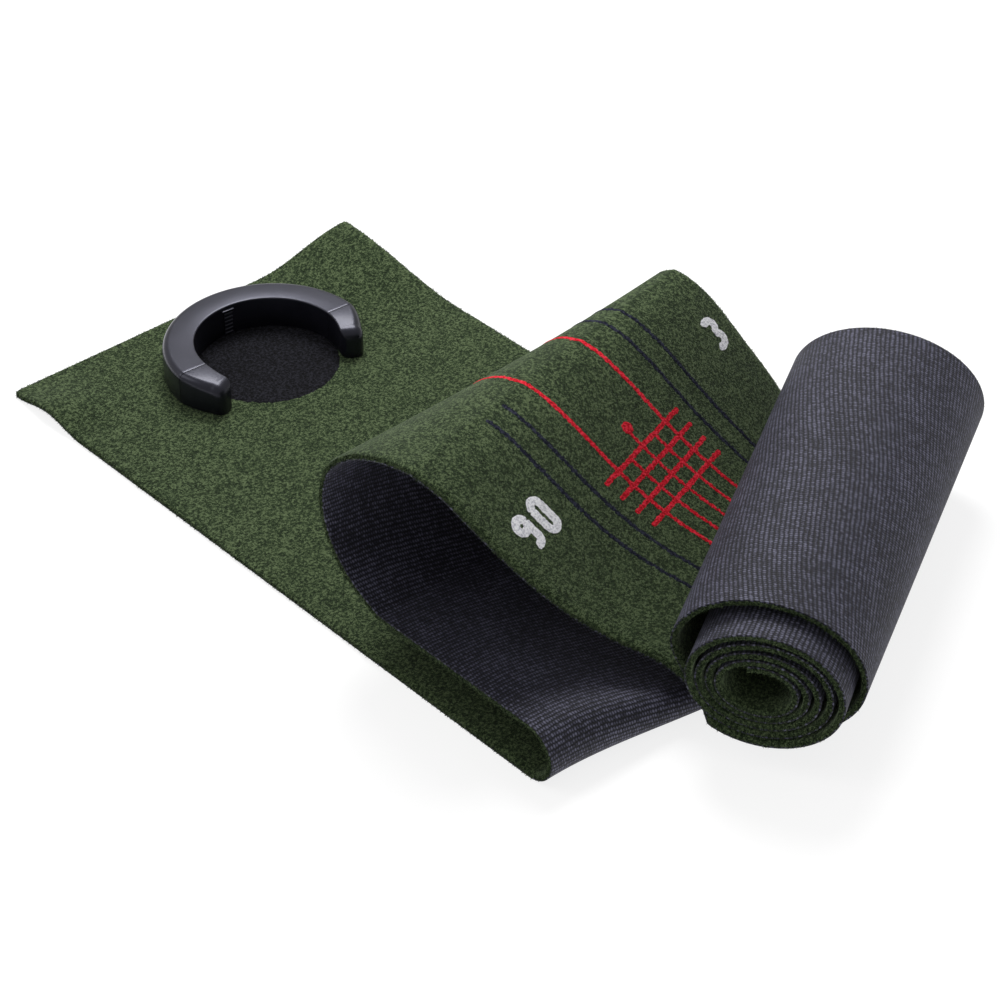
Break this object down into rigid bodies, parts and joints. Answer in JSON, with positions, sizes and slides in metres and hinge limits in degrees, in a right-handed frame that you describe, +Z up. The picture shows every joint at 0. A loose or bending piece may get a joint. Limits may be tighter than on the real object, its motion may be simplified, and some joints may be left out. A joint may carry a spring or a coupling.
{
  "type": "practice putting mat",
  "caption": "Green pile putting mat with a knitted backing, folded over itself and rolled at one end, with guide marks, a black hole spot and a loose C-shaped cup on its free end.",
  "frame": {"origin": "on the floor, on the mat's centreline, in the middle of the flat base panel's underside", "axes": "+X along the mat from the cut free end towards the roll, +Y across the mat to the far side, +Z up"},
  "size_m": [0.6558, 0.4189, 0.1665],
  "materials": {
    "pile": "short cut pile, matte, lighter where the nap leans away",
    "backing": "knitted, with small raised rubber dashes",
    "black_print": "dyed pile, matte",
    "red_print": "dyed pile, matte",
    "navy_print": "dyed pile, matte",
    "white_print": "dyed pile, matte",
    "cup_plastic": "moulded black plastic, satin to glossy"
  },
  "bodies": {
    "folded_mat": {"base_backing": "backing", "base_pile": "pile", "fold_backing": "backing", "fold_pile": "pile", "back_panel_backing": "backing", "back_panel_pile": "pile", "arch_backing": "backing", "arch_pile": "pile", "top_panel_backing": "backing", "top_panel_pile": "pile", "loose_turn_backing": "backing", "loose_turn_pile": "pile", "red_lines": "red_print", "red_dot": "red_print", "dark_lines": "navy_print", "numeral_ninety": "white_print", "numeral_three": "white_print"},
    "free_end": {"free_end_backing": "backing", "free_end_pile": "pile", "hole_spot": "black_print"},
    "cup": {"cup_half_ring": "cup_plastic", "cup_tip_near": "cup_plastic", "cup_tip_far": "cup_plastic", "cup_ribbed_strip": "cup_plastic"},
    "tight_coil": {"coil_backing": "backing", "coil_pile": "pile"}
  },
  "joints": [
    {"name": "free_end_lift", "type": "hinge", "parent": "folded_mat", "child": "free_end", "pos_m": [-0.11, 0, 0.0046], "axis": [0, 1, 0], "range_deg": [0, 75]},
    {"name": "cup_lift", "type": "slide", "parent": "free_end", "child": "cup", "axis": [0, 0, 1], "range_m": [0, 0.06]},
    {"name": "coil_slide", "type": "slide", "parent": "folded_mat", "child": "tight_coil", "axis": [0.4848, -0.8746, 0], "range_m": [-0.028, 0.03]}
  ]
}
